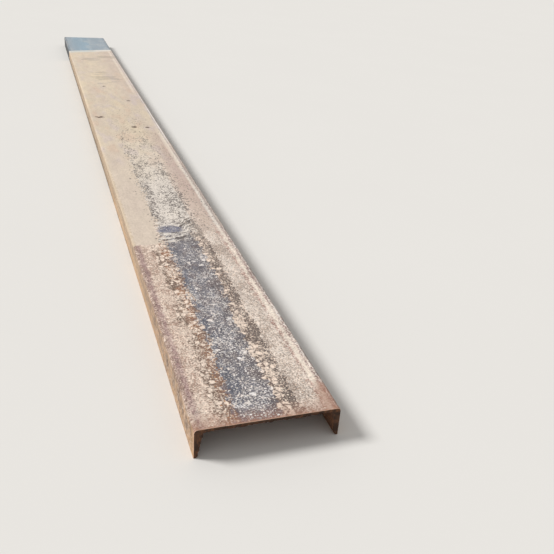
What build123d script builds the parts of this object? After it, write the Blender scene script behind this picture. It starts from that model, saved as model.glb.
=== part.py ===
from build123d import *
import os

# One length of hot-rolled steel channel with tapered flanges, lying on its toes with the web on top.
# X runs across the section, +Y along the bar, +Z up. The origin is on the floor, below the bar's middle.

# The section, as it is rolled: 15 in deep, 33.9 lb/ft
depth = 381.0  # over the outer faces of the two flanges
flange_width = 86.4  # back of the web to the toes
web_thickness = 10.2
flange_thickness = 16.5  # halfway between the toe and the web
flange_taper = 1 / 6  # how fast a flange thickens from its toe to the web, 2 in 12
root_radius = 12.7  # hollow corner where a flange meets the web
toe_radius = 6.1  # inner edge of a toe
heel_radius = 11.0  # outer corner where a flange meets the web

# The bar, as it is cut: 20 ft
length = 6096.0

# A toe keeps some flat beside its round edge, however thin the flange is
toe_round_limit = 0.9

web_underside = flange_width - web_thickness
flange_half_overhang = web_underside / 2
toe_thickness = flange_thickness - flange_half_overhang * flange_taper
root_thickness = flange_thickness + flange_half_overhang * flange_taper

with BuildPart() as steel_channel:
    with BuildSketch(Plane.XZ) as section:
        with BuildLine():
            Polyline(
                (0, flange_width),
                (depth / 2, flange_width),
                (depth / 2, 0),
                (depth / 2 - toe_thickness, 0),
                (depth / 2 - root_thickness, web_underside),
                (0, web_underside),
                close=True,
            )
        make_face()
        mirror(about=Plane.YZ)

        roots = section.vertices().group_by(Axis.Y)[1]
        fillet(roots, radius=root_radius)
        heels = section.vertices().group_by(Axis.Y)[-1]
        fillet(heels, radius=heel_radius)
        toe_corners = section.vertices().group_by(Axis.Y)[0]
        inner_toes = toe_corners.sort_by(lambda corner: abs(corner.X))[:2]
        fillet(inner_toes, radius=min(toe_radius, toe_thickness * toe_round_limit))
    extrude(amount=length / 2, both=True)

steel_channel.part.label = "steel_channel"

os.makedirs("parts", exist_ok=True)
export_step(steel_channel.part, "parts/steel_channel.step")
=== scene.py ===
"""A twenty-foot length of rolled steel channel, dressed as a weathered bar and lit in a plain studio.

Everything is in metres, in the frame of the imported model: X across the section, +Y along the bar and +Z up.
Sizes that are easier to read in millimetres are written as a number times MM. The finishes read a point of
the bar as a Spot: what they set against its "across" or "height" is in millimetres, and what they set against
its "along" is in metres from the near end.
"""

import logging
import math
from collections.abc import Callable, Iterable, Sequence
from dataclasses import dataclass
from enum import Enum

import bpy
from mathutils import Matrix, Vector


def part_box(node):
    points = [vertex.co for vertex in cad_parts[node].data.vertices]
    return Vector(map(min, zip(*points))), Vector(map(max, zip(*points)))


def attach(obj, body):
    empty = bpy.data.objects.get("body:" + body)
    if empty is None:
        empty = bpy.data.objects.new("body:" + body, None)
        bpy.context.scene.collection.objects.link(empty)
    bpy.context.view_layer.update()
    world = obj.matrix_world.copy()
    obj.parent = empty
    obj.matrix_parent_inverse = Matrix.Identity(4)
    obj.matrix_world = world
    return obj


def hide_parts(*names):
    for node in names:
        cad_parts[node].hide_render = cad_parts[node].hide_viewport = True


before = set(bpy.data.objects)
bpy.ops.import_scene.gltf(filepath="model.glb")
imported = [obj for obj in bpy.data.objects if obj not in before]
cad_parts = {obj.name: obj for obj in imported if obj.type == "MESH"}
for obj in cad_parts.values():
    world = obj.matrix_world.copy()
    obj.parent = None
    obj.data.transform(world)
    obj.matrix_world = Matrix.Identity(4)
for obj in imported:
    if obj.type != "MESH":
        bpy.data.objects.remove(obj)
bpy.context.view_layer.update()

MM = 0.001
BAR_NODE = "steel_channel"
BODY = "root"

log = logging.getLogger("channel")

Colour = tuple[float, float, float, float]
Point = tuple[float, float, float]


def colour(red: int, green: int, blue: int) -> Colour:
    """Turns a screen colour into the linear colour that shaders use.

    Args:
        red: Red, 0 to 255.
        green: Green, 0 to 255.
        blue: Blue, 0 to 255.

    Returns:
        The same colour in linear light, with an alpha of 1.
    """
    brightest, knee, slope, offset, power = 255, 0.04045, 12.92, 0.055, 2.4
    shares = [level / brightest for level in (red, green, blue)]
    linear = [s / slope if s <= knee else ((s + offset) / (1 + offset)) ** power for s in shares]
    return (linear[0], linear[1], linear[2], 1.0)


def arithmetic(operation: str, swapped: bool = False) -> Callable[["Field", "Value"], "Field"]:
    """Makes one of a field's arithmetic methods.

    Args:
        operation: Blender's name for the operation.
        swapped: True where the other value stands first.

    Returns:
        The method.
    """

    def method(self: "Field", other: "Value") -> "Field":
        """Returns the result of the operation."""
        first, second = (other, self) if swapped else (self, other)
        return self.graph.math(operation, first, second)

    return method


class Field:
    """A number or colour that varies over a surface: the output of a node, used with plain arithmetic."""

    def __init__(self, graph: "Graph", socket: bpy.types.NodeSocket) -> None:
        """Keeps the graph that the value belongs to and the socket that carries it."""
        self.graph = graph
        self.socket = socket

    def __abs__(self) -> "Field":
        """Returns the size without its sign."""
        return self.graph.math("ABSOLUTE", self, 0.0)

    __add__ = __radd__ = arithmetic("ADD")
    __sub__ = arithmetic("SUBTRACT")
    __rsub__ = arithmetic("SUBTRACT", swapped=True)
    __mul__ = __rmul__ = arithmetic("MULTIPLY")
    __truediv__ = arithmetic("DIVIDE")
    __lt__ = arithmetic("LESS_THAN")
    __gt__ = arithmetic("GREATER_THAN")

    def smooth(self, start: "Value", end: "Value", low: "Value" = 0.0, high: "Value" = 1.0) -> "Field":
        """Turns softly from a low level to a high one between a start and an end, which may lie below it."""
        limits = {"Value": self, "From Min": start, "From Max": end, "To Min": low, "To Max": high}
        return self.graph.make("ShaderNodeMapRange", limits, interpolation_type="SMOOTHSTEP")

    def band(self, start: float, full: float, fading: float, end: float) -> "Field":
        """Returns 1 from full to fading, falling softly to 0 at the start and at the end."""
        return self.smooth(start, full) * self.smooth(end, fading)


Value = Field | float | int | bool | str | Sequence[float] | bpy.types.ID
Inputs = dict[str | int, Value]
Stop = tuple[float, Colour]
Span = tuple[float, float]
Band = tuple[float, float, float, float]


class Graph:
    """A node tree that is being built."""

    def __init__(self, tree: bpy.types.NodeTree, place: tuple[str, str] | None = None) -> None:
        """Starts on an empty tree.

        Args:
            tree: The tree that the nodes go into.
            place: The kind of node that gives a point's place, with the name of its output, or None.
        """
        self.tree = tree
        if place:
            self.position = self.make(place[0], output=place[1])
            self.x, self.y, self.z = self.split(self.position)

    def plug(self, node: bpy.types.Node, inputs: Inputs) -> None:
        """Fills a node's sockets.

        Args:
            node: The node.
            inputs: What goes into its sockets, by name or number.
        """
        for key, value in inputs.items():
            if isinstance(value, Field):
                self.tree.links.new(value.socket, node.inputs[key])
            else:
                node.inputs[key].default_value = value

    def node(self, kind: str, inputs: Inputs | None = None, **settings: object) -> bpy.types.Node:
        """Adds a node.

        Args:
            kind: Blender's name for the node.
            inputs: What goes into its sockets, by name or number.
            **settings: The node's own settings.

        Returns:
            The new node.
        """
        made = self.tree.nodes.new(kind)
        for name, setting in settings.items():
            setattr(made, name, setting)
        self.plug(made, inputs or {})
        return made

    def out(self, node: bpy.types.Node, output: str | int = 0) -> Field:
        """Returns one of a node's outputs as a field."""
        return Field(self, node.outputs[output])

    def make(
        self, kind: str, inputs: Inputs | None = None, output: str | int = 0, **settings: object
    ) -> Field:
        """Adds a node and returns one of its outputs."""
        return self.out(self.node(kind, inputs, **settings), output)

    def math(self, operation: str, first: Value, second: Value) -> Field:
        """Returns the result of one arithmetic operation."""
        return self.make("ShaderNodeMath", {0: first, 1: second}, operation=operation)

    def most(self, first: Field, *others: Field) -> Field:
        """Returns the largest of several numbers."""
        return self.math("MAXIMUM", first, self.most(*others)) if others else first

    def clip(self, value: Field) -> Field:
        """Returns the value, held between 0 and 1."""
        return self.math("MAXIMUM", self.math("MINIMUM", value, 1.0), 0.0)

    def point(self, x: Value = 0.0, y: Value = 0.0, z: Value = 0.0) -> Field:
        """Returns a point, or a vector, made from its three coordinates."""
        return self.make("ShaderNodeCombineXYZ", {0: x, 1: y, 2: z})

    def split(self, vector: Field) -> list[Field]:
        """Returns the three coordinates of a vector, or the three channels of a colour."""
        parts = self.node("ShaderNodeSeparateXYZ", {0: vector})
        return [self.out(parts, axis) for axis in range(3)]

    def scaled(self, vector: Value, level: Value) -> Field:
        """Returns a vector, or a colour, with each of its parts times a level."""
        start = vector if isinstance(vector, Field) else vector[:3]
        return self.make("ShaderNodeVectorMath", {0: start, "Scale": level}, operation="SCALE")

    def noise(
        self,
        grain: float,
        stretch: float | Point = 1,
        detail: float = 2,
        seed: float = 0,
        place: Field | None = None,
    ) -> Field:
        """Makes smooth random variation.

        Args:
            grain: Size of one blot, in millimetres.
            stretch: How much finer the pattern is along the bar, or along each axis.
            detail: How many finer layers are added.
            seed: Moves the pattern, so that two of one size don't match.
            place: Where to read it. The point itself, if it is left out.

        Returns:
            A number from 0 to 1, mostly near 0.5.
        """
        axes = stretch if isinstance(stretch, tuple) else (1, stretch, 1)
        moves = {0: place or self.position, 1: axes, 2: (seed, seed, seed)}
        moved = self.make("ShaderNodeVectorMath", moves, operation="MULTIPLY_ADD")
        return self.make("ShaderNodeTexNoise", {"Vector": moved, "Scale": 1 / (grain * MM), "Detail": detail})


@dataclass(frozen=True)
class Cells:
    """A plane split into random cells, as a material reads it.

    Args:
        distance: Distance from the cell's middle, in cell sizes.
        rim: Distance from the cell's edge, in cell sizes.
        middle: Place of the cell's middle across the bar, in metres.
        chance: One random number for each cell, 0 to 1.
        tint: Another one.
    """

    distance: Field
    rim: Field
    middle: Field
    chance: Field
    tint: Field

    def filled(self, share: Field, seam: float) -> Field:
        """Returns 1 in a share of the cells, falling to 0 over a seam along their edges."""
        return (self.chance < share) * self.rim.smooth(seam * 0.25, seam)

    def dotted(self, chosen: Field, radius: Value, blur: float) -> Field:
        """Returns 1 on a round dot with a soft edge in each chosen cell."""
        return chosen * chosen.graph.clip((radius - self.distance) / blur + 0.5)


class SurfaceGraph(Graph):
    """A material's nodes, read in the object's own coordinates."""

    MIX_FIRST, MIX_SECOND, MIX_RESULT = 6, 7, 2  # The sockets of a mix node that carry colours.

    def __init__(self, name: str) -> None:
        """Makes a material with nothing in it yet.

        Args:
            name: The material's name.
        """
        self.material = bpy.data.materials.new(name)
        self.material.use_nodes = True
        self.material.node_tree.nodes.clear()
        super().__init__(self.material.node_tree, ("ShaderNodeTexCoord", "Object"))

    def blend(self, cover: Value, first: Value, second: Value) -> Field:
        """Returns the first colour where the cover is 0 and the second where it is 1."""
        inputs = {0: cover, self.MIX_FIRST: first, self.MIX_SECOND: second}
        return self.make("ShaderNodeMix", inputs, self.MIX_RESULT, data_type="RGBA")

    def glaze(self, shade: Value, *coats: tuple[Field, Value]) -> Value:
        """Lays colours over a surface, one after the other.

        Args:
            shade: The colour so far.
            *coats: How far each one covers, and its colour.

        Returns:
            The colour with all of them on it.
        """
        for cover, tint in coats:
            shade = self.blend(cover, shade, tint)
        return shade

    def shaken(self, reach: float, grain: float) -> Field:
        """Moves the place of each point at random.

        Args:
            reach: How far it is moved at most, in millimetres.
            grain: Size of the waves, in millimetres.

        Returns:
            The new place.
        """
        waves = {"Vector": self.position, "Scale": 1 / (grain * MM), "Detail": 1.0}
        shift = reach * MM
        spread = {0: self.make("ShaderNodeTexNoise", waves, "Color"), 1: (shift * 2,) * 3, 2: (-shift,) * 3}
        move = self.make("ShaderNodeVectorMath", spread, operation="MULTIPLY_ADD")
        return self.make("ShaderNodeVectorMath", {0: self.position, 1: move}, operation="ADD")

    def cells(self, size: float, place: Field) -> Cells:
        """Splits the web's plane into random cells.

        Args:
            size: Mean width of a cell, in millimetres.
            place: Where to read them.

        Returns:
            The cell that each point lies in.
        """
        inputs = {"Vector": place, "Scale": 1 / (size * MM)}
        near = self.node("ShaderNodeTexVoronoi", inputs, voronoi_dimensions="2D")
        rim = self.make("ShaderNodeTexVoronoi", inputs, voronoi_dimensions="2D", feature="DISTANCE_TO_EDGE")
        chance, tint, _ = self.split(self.out(near, "Color"))
        return Cells(self.out(near), rim, self.split(self.out(near, "Position"))[0], chance, tint)

    def ramp(self, value: Field, stops: Sequence[Stop]) -> Field:
        """Reads a colour from a ramp.

        Args:
            value: Where to read, 0 to 1.
            stops: The ramp's colours, in order.

        Returns:
            The colour.
        """
        made = self.node("ShaderNodeValToRGB", {0: value})
        elements = made.color_ramp.elements
        for place, _ in stops[len(elements):]:
            elements.new(place)
        for element, stop in zip(elements, stops, strict=True):
            element.position, element.color = stop
        return self.out(made)

    def finish(self, base: Value, roughness: Value, relief: Field, shine: float = 0.3) -> bpy.types.Material:
        """Closes the material with its shader.

        Args:
            base: Base colour.
            roughness: Roughness.
            relief: Height of the surface's grain, in millimetres.
            shine: Specular level, the same all over.

        Returns:
            The finished material.
        """
        inputs = {
            "Base Color": base,
            "Roughness": roughness,
            "Specular IOR Level": shine,
            "Normal": self.make("ShaderNodeBump", {"Height": relief, "Distance": MM, "Strength": 1.0}),
        }
        self.node("ShaderNodeOutputMaterial", {"Surface": self.make("ShaderNodeBsdfPrincipled", inputs)})
        return self.material


class ShapeGraph(Graph):
    """A Geometry Nodes tree with named inputs for its sizes."""

    def __init__(self, name: str) -> None:
        """Makes an empty tree that gives out one geometry.

        Args:
            name: The tree's name.
        """
        tree = bpy.data.node_groups.new(name, "GeometryNodeTree")
        tree.is_modifier = True
        tree.interface.new_socket("Geometry", in_out="OUTPUT", socket_type="NodeSocketGeometry")
        super().__init__(tree, ("GeometryNodeInputPosition", "Position"))
        self.group_input = self.node("NodeGroupInput")
        self.sizes: dict[str, float | int] = {}

    def size(self, name: str, value: float | int) -> Field:
        """Adds a named input.

        Args:
            name: What the size is called.
            value: What it is set to on this piece.

        Returns:
            The input, as a field.
        """
        kind = "NodeSocketInt" if isinstance(value, int) else "NodeSocketFloat"
        socket = self.tree.interface.new_socket(name, in_out="INPUT", socket_type=kind)
        self.sizes[socket.identifier] = value
        return self.out(self.group_input, name)

    def pick(self, kind: str, options: Sequence[Value]) -> Field:
        """Gives each point, by its number, its own value from a list.

        Args:
            kind: Blender's name for the kind of value: VECTOR, FLOAT or INT.
            options: One value for each point, in order.

        Returns:
            The point's value.
        """
        switch = self.node("GeometryNodeIndexSwitch", data_type=kind)
        while len(switch.index_switch_items) < len(options):
            switch.index_switch_items.new()
        self.plug(switch, {0: self.make("GeometryNodeInputIndex")} | dict(enumerate(options, 1)))
        return self.out(switch)

    def store(self, shape: Field, name: str, value: Value, kind: str = "FLOAT") -> Field:
        """Writes a named attribute on every point of a shape and returns the shape."""
        inputs = {"Geometry": shape, "Name": name, "Value": value}
        return self.make("GeometryNodeStoreNamedAttribute", inputs, data_type=kind)

    def read(self, name: str, kind: str = "FLOAT") -> Field:
        """Returns a named attribute."""
        return self.make("GeometryNodeInputNamedAttribute", {"Name": name}, data_type=kind)

    def random(self, high: float, seed: Field) -> Field:
        """Returns a random number from 0 up for each point."""
        return self.make("FunctionNodeRandomValue", {"Min": 0.0, "Max": high, "Seed": seed}, 1)

    def move(self, shape: Field, offset: Field) -> Field:
        """Returns the shape with every point moved by an offset."""
        return self.make("GeometryNodeSetPosition", {"Geometry": shape, "Offset": offset})

    def place(self, shape: Field, position: Field) -> Field:
        """Returns the shape with every point at a new place."""
        return self.make("GeometryNodeSetPosition", {"Geometry": shape, "Position": position})

    def line(self, start: Point, end: Point, count: Value) -> Field:
        """Returns a straight curve from a start to an end, with a number of points."""
        line = self.make("GeometryNodeCurvePrimitiveLine", {"Start": start, "End": end})
        return self.make("GeometryNodeResampleCurve", {"Curve": line, "Count": count})

    def rounded(self, curve: Field, count: Value, radius: Value) -> Field:
        """Returns a curve with its corners rounded, by a number of points and a radius for each."""
        inputs = {"Curve": curve, "Count": count, "Radius": radius, "Limit Radius": True}
        return self.make("GeometryNodeFilletCurve", inputs, mode="POLY")

    def grow(self, name: str, shape: Field, *finishes: tuple[bpy.types.Material, Value]) -> bpy.types.Object:
        """Closes the tree, runs it and keeps what it makes as a plain mesh.

        Args:
            name: The piece's name.
            shape: The last geometry of the tree.
            *finishes: Each material with the faces that it covers, the later ones over the first.

        Returns:
            The piece, at the origin, with no modifier left on it.
        """
        shape = self.make("GeometryNodeRealizeInstances", {"Geometry": shape})
        for material, where in finishes:
            inputs = {"Geometry": shape, "Selection": where, "Material": material}
            shape = self.make("GeometryNodeSetMaterial", inputs)
        self.node("NodeGroupOutput", {0: shape})
        piece = bpy.data.objects.new(name, bpy.data.meshes.new(name))
        bpy.context.scene.collection.objects.link(piece)
        modifier = piece.modifiers.new(self.tree.name, "NODES")
        modifier.node_group = self.tree
        for identifier, value in self.sizes.items():
            modifier[identifier] = value
        bpy.context.view_layer.update()
        evaluated = piece.evaluated_get(bpy.context.evaluated_depsgraph_get())
        mesh = bpy.data.meshes.new_from_object(evaluated)
        piece.modifiers.remove(modifier)
        piece.data = mesh
        mesh.name = name
        return piece


@dataclass(frozen=True)
class ChannelSection:
    """The rolled section: a web on top and two flanges that hang from it and thicken towards it."""

    depth: float
    flange_width: float
    length: float
    web_thickness: float = 10.2 * MM
    flange_thickness: float = 16.5 * MM
    flange_taper: float = 1 / 6
    root_radius: float = 12.7 * MM
    toe_radius: float = 6.1 * MM
    heel_radius: float = 11.0 * MM

    @classmethod
    def from_frame(cls) -> "ChannelSection":
        """Returns the section with its depth, flange width and length as packed."""
        low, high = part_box(BAR_NODE)
        return cls(depth=high.x - low.x, flange_width=high.z - low.z, length=high.y - low.y)

    @property
    def half_depth(self) -> float:
        """Distance from the middle of the web to the back of a flange."""
        return self.depth / 2

    @property
    def half_length(self) -> float:
        """Distance from the middle of the bar to an end."""
        return self.length / 2

    @property
    def under(self) -> float:
        """Height of the web's underside."""
        return self.flange_width - self.web_thickness


class LanePart(Enum):
    """What a lane gives to the web: one of its three colours, or its shares."""

    GROUND = "ground"
    CRUST = "crust"
    COAT = "coat"
    SHARES = "shares"


@dataclass(frozen=True)
class Lane:
    """A strip of the web that runs along the bar and has weathered in one way.

    Args:
        start: Distance of its left edge from the left flange's back, in millimetres.
        ground: The steel, rust or scale that shows.
        crust: What lies on it, at the near end.
        coat: The dried dust that covers it towards the far end.
        blobs: How much of the near part large blobs of crust cover, 0 to 1.
        flecks: How much of the rest small flecks cover, 0 to 1.
        worn: How far the coat is worn through where it begins, 0 to 1.
    """

    start: float
    ground: Colour
    crust: Colour
    coat: Colour
    blobs: float = 0.0
    flecks: float = 0.0
    worn: float = 0.0

    @property
    def shares(self) -> Colour:
        """The three shares, packed as a colour."""
        return (self.blobs, self.flecks, self.worn, 1.0)


@dataclass(frozen=True)
class Scuff:
    """A short dark mark across the web, with its middle and its half sizes in millimetres."""

    across: float
    along: float
    half_width: float
    half_length: float


HEEL_TAN = colour(146, 122, 110)
MAUVE = colour(157, 129, 124)
PINK_DUST = colour(180, 152, 136)
PINK_RUST = colour(178, 144, 132)
OLIVE = colour(130, 111, 98)
RUST_BROWN = colour(129, 107, 95)
MILL_BLUE = colour(106, 106, 114)
CHARCOAL = colour(114, 111, 116)
DARK_SCALE = colour(108, 103, 106)
UMBER = colour(120, 105, 97)
DARK_BROWN = colour(118, 106, 99)
GREY_BEIGE = colour(178, 161, 148)
SAND = colour(233, 213, 196)
PALE_SAND = colour(232, 219, 207)
CHALK = colour(234, 229, 227)
CREAM = colour(241, 228, 212)
WARM_COAT = colour(213, 197, 180)
GREY_COAT = colour(222, 212, 201)
BEIGE_COAT = colour(221, 204, 190)
PINK_COAT = colour(206, 187, 173)
FAR_COAT = colour(215, 199, 178)
# Painted shade: the right heel's rounding, darkened where it rolls away from the light.
RIGHT_HEEL_PAINTED_SHADE = colour(132, 120, 115)
RIM_LIGHT = colour(246, 238, 230)
SCUFF_BROWN = colour(92, 74, 62)
WORN_GREY = colour(104, 96, 92)

LANES = (
    Lane(0, HEEL_TAN, colour(188, 165, 151), colour(196, 178, 155), flecks=0.5),
    Lane(9, MAUVE, colour(186, 158, 151), WARM_COAT, flecks=0.45),
    Lane(24, PINK_DUST, SAND, WARM_COAT, 0.05, 0.58),
    Lane(70, OLIVE, SAND, WARM_COAT, 0.38, 0.2),
    Lane(98, RUST_BROWN, SAND, WARM_COAT, 0.27, 0.09, 0.15),
    Lane(122, MILL_BLUE, CHALK, GREY_COAT, 0.02, 0.12, 0.82),
    Lane(152, CHARCOAL, CHALK, GREY_COAT, 0.05, 0.2, 0.24),
    Lane(204, DARK_SCALE, CHALK, GREY_COAT, 0.06, 0.14, 0.6),
    Lane(228, UMBER, SAND, GREY_COAT, 0.58, 0.24, 0.74),
    Lane(255, DARK_BROWN, SAND, BEIGE_COAT, 0.15, 0.14, 0.7),
    Lane(283, GREY_BEIGE, PALE_SAND, PINK_COAT, 0.0, 0.56, 0.14),
    Lane(337, PINK_RUST, PALE_SAND, colour(190, 168, 155), 0.0, 0.30, 0.1),
    Lane(345, colour(222, 206, 191), CREAM, GREY_COAT, 0.0, 0.82, 0.12),
    Lane(364, MAUVE, colour(212, 196, 185), colour(164, 148, 141), flecks=0.4),
    Lane(369, colour(192, 176, 166), RIM_LIGHT, colour(206, 193, 183), flecks=0.72),
    # The last lane is painted shade: it darkens the right heel's rounding where it turns away from the light.
    Lane(375, RIGHT_HEEL_PAINTED_SHADE, MAUVE, colour(128, 110, 102), flecks=0.3),
)

WEB_MIDDLE = 190  # Millimetres from the left flange's back, as in the lanes and scuffs.
BARE_PATCH = Scuff(158, 1195, 50, 38)
SCUFFS = (
    Scuff(54, 2936, 26, 20),
    Scuff(228, 2700, 18, 16),
    Scuff(300, 2690, 14, 14),
    Scuff(164, 3810, 12, 18),
    Scuff(276, 3360, 13, 12),
)
SMUDGES = (Scuff(205, 4120, 70, 150), Scuff(150, 4880, 60, 40), Scuff(300, 5000, 70, 60))


def lane_stops(part: LanePart, width: float) -> list[Stop]:
    """Lists one colour of every lane, held level across it and blended at its edges, softly on the sides.

    Args:
        part: Which of the lanes' colours.
        width: Width of the web, in millimetres.

    Returns:
        Two stops for each lane, in order.
    """
    crisp_blend, soft_blend, crisp_reach, largest_share = 2.5, 7.0, 140, 0.4
    starts = [lane.start for lane in LANES]
    stops = []
    for lane, start, end in zip(LANES, starts, starts[1:] + [width], strict=True):
        blend = crisp_blend if abs((start + end - width) / 2) < crisp_reach else soft_blend
        soft = min(blend, (end - start) * largest_share)
        shade = getattr(lane, part.value)
        stops += [((start + soft) / width, shade), ((end - soft) / width, shade)]
    return stops


@dataclass(frozen=True)
class Layer:
    """A colour and the height of its grain in millimetres."""

    shade: Field
    lift: Field

    def under(self, other: "Layer", cover: Field) -> "Layer":
        """Returns this layer, with another one over it as far as that covers."""
        lift = self.lift * (1 - cover) + other.lift * cover
        return Layer(cover.graph.blend(cover, self.shade, other.shade), lift)


@dataclass(frozen=True)
class Spot:
    """A point of the bar's outside, as the finishes read it.

    Args:
        graph: The material's nodes.
        width: Width of the web, in millimetres.
        across: Millimetres from the left flange's back.
        along: Metres from the near end.
        height: Millimetres from the toes.
        flange: 1 on the flanges and 0 on the web.
        blobs: Cells of the large blobs of crust.
        flecks: Cells of the small flecks and dots.
    """

    graph: SurfaceGraph
    width: float
    across: Field
    along: Field
    height: Field
    flange: Field
    blobs: Cells
    flecks: Cells

    @classmethod
    def on(cls, g: SurfaceGraph, section: ChannelSection) -> "Spot":
        """Reads where a point of a bar is.

        Args:
            g: The material's nodes.
            section: The bar.

        Returns:
            The point.
        """
        across, along = (g.x + section.half_depth) / MM, g.y + section.half_length
        flange = (g.z / MM + g.noise(14) * 4).smooth(84, 79)
        blobs, flecks = g.cells(18, g.shaken(3, 9)), g.cells(7.5, g.shaken(2.6, 6))
        return cls(g, section.depth / MM, across, along, g.z / MM, flange, blobs, flecks)


@dataclass(frozen=True)
class LaneMix:
    """What the lanes give at a point of the web: three colours and three shares."""

    ground: Field
    crust: Field
    coat: Field
    blobs: Field
    flecks: Field
    worn: Field

    @classmethod
    def at(cls, spot: Spot) -> "LaneMix":
        """Reads the lanes, whose edges follow the outlines of the blobs.

        Args:
            spot: The point.

        Returns:
            What the lanes give there.
        """
        g, across, along = spot.graph, spot.across, spot.along
        rust_edge, scale_edge, umber_strip = 118, 120, (200, 232, 255, 275)
        calm = abs(across - WEB_MIDDLE).smooth(138, 160, 1.0, 0.1)
        blob_middle = spot.blobs.middle / MM + spot.width / 2
        ragged = across.smooth(140, 220, 0.75, 0.85)
        reach = across.smooth(150, 210, 60, 26)
        wander = (g.noise(50, 0.5, 3) - 0.5) * reach + (blob_middle - across) * ragged
        jitter = (g.noise(9, 0.6, 3, 63) - 0.5) * abs(across - rust_edge).smooth(34, 12, 24, 62)
        drift = along.smooth(0.42, 0.62) * across.band(*umber_strip) * 13
        spread = along.smooth(0.2, 0.1) * abs(across - scale_edge).smooth(45, 20) * 10
        lane = (across + wander * calm + jitter - drift + spread) / spot.width
        ground, crust, coat, shares = (g.ramp(lane, lane_stops(part, spot.width)) for part in LanePart)
        return cls(ground, crust, coat, *g.split(shares))


@dataclass(frozen=True)
class NearCrust:
    """Blobs and flecks of dried crust over rust and mill scale, as at the near end.

    Args:
        fresh_rust: Colour of the bright rust.
        rusty_strip: The strip across the web that has it.
        faded_strip: The strip where crust and scale look alike further off.
        thickest: Where the small flecks lie thickest, in metres from the near end.
    """

    fresh_rust: Colour = colour(164, 116, 86)
    rusty_strip: Band = (76, 98, 110, 126)
    faded_strip: Band = (116, 134, 214, 236)
    thickest: float = 0.27

    def layer(self, spot: Spot, lanes: LaneMix) -> Layer:
        """Lays the crust.

        Args:
            spot: The point.
            lanes: What the lanes give there.

        Returns:
            The crust's colour and relief.
        """
        g, across, along, blobs, flecks = spot.graph, spot.across, spot.along, spot.blobs, spot.flecks
        grain = g.noise(4.5, 0.85, 3, 11)
        patches = g.noise(45, 0.6, 3, 7) - 0.5
        clots = g.noise(14, 0.8, 2, 58) - 0.5
        knots = g.cells(10, g.shaken(2.6, 6))
        cleaner = along.smooth(0.4, 0.7) * across.smooth(116, 250, 0.5, -0.3)
        share = lanes.blobs * (patches * 2.4 + cleaner + 1)
        big, small = blobs.filled(share, 0.18), knots.filled(share * 0.85, 0.24)
        fine = (g.noise(4.2, (0.8, 1, 1), 3, 57) - 0.5) * 2.9 + 0.5
        thick = abs(along - self.thickest).smooth(0.42, 0.12, 0.9, 1.1)
        crumbs = g.clip((lanes.flecks * thick * 0.7 + patches * 1.3 + clots + 0.15 - fine) / 0.3 + 0.5)
        chosen = flecks.chance < clots * 0.5 + patches * 0.4 + 0.06
        dots = flecks.dotted(chosen, flecks.tint * 0.24 + 0.22, 0.12)
        cover = g.most(big, small * 0.92, crumbs, dots)

        rusty = g.noise(38, 0.35, 3, 15).smooth(0.47, 0.56) * across.band(*self.rusty_strip)
        rusty = rusty * along.smooth(0.35, 0.75, 0.2, 1.0)
        stained = g.noise(26, 0.5, 2, 16).smooth(0.52, 0.62)
        faded = along.smooth(0.4, 0.6) * across.band(*self.faded_strip)
        ground = g.scaled(lanes.ground, (grain - 0.5) * 1.9 + (blobs.tint - 0.5) * 0.16 + patches * 0.3 + 1)
        ground = g.glaze(ground, (rusty, self.fresh_rust), (stained * 0.25, RUST_BROWN))
        ground = g.scaled(ground, faded * 0.11 + 1)

        # Painted light and shade: each large blob is lighter in its middle and darker towards its rim, as a
        # lit dome.
        painted_dome_shading = big * blobs.rim.smooth(0.08, 0.3, -0.1, 0.07)
        crust = g.blend(knots.tint * 0.5, lanes.crust, SAND)
        crust = g.scaled(crust, (grain - 0.5) * 1.2 + (knots.tint - 0.5) * 0.14 + painted_dome_shading + 1)
        crust = g.scaled(g.blend(dots * 0.6, crust, CREAM), faded * -0.13 + 1)
        lift = big * 0.8 + small * 0.5 + crumbs * 0.5 + dots * 0.5 + grain * 1.1
        return Layer(g.blend(cover, ground, crust), lift)


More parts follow.
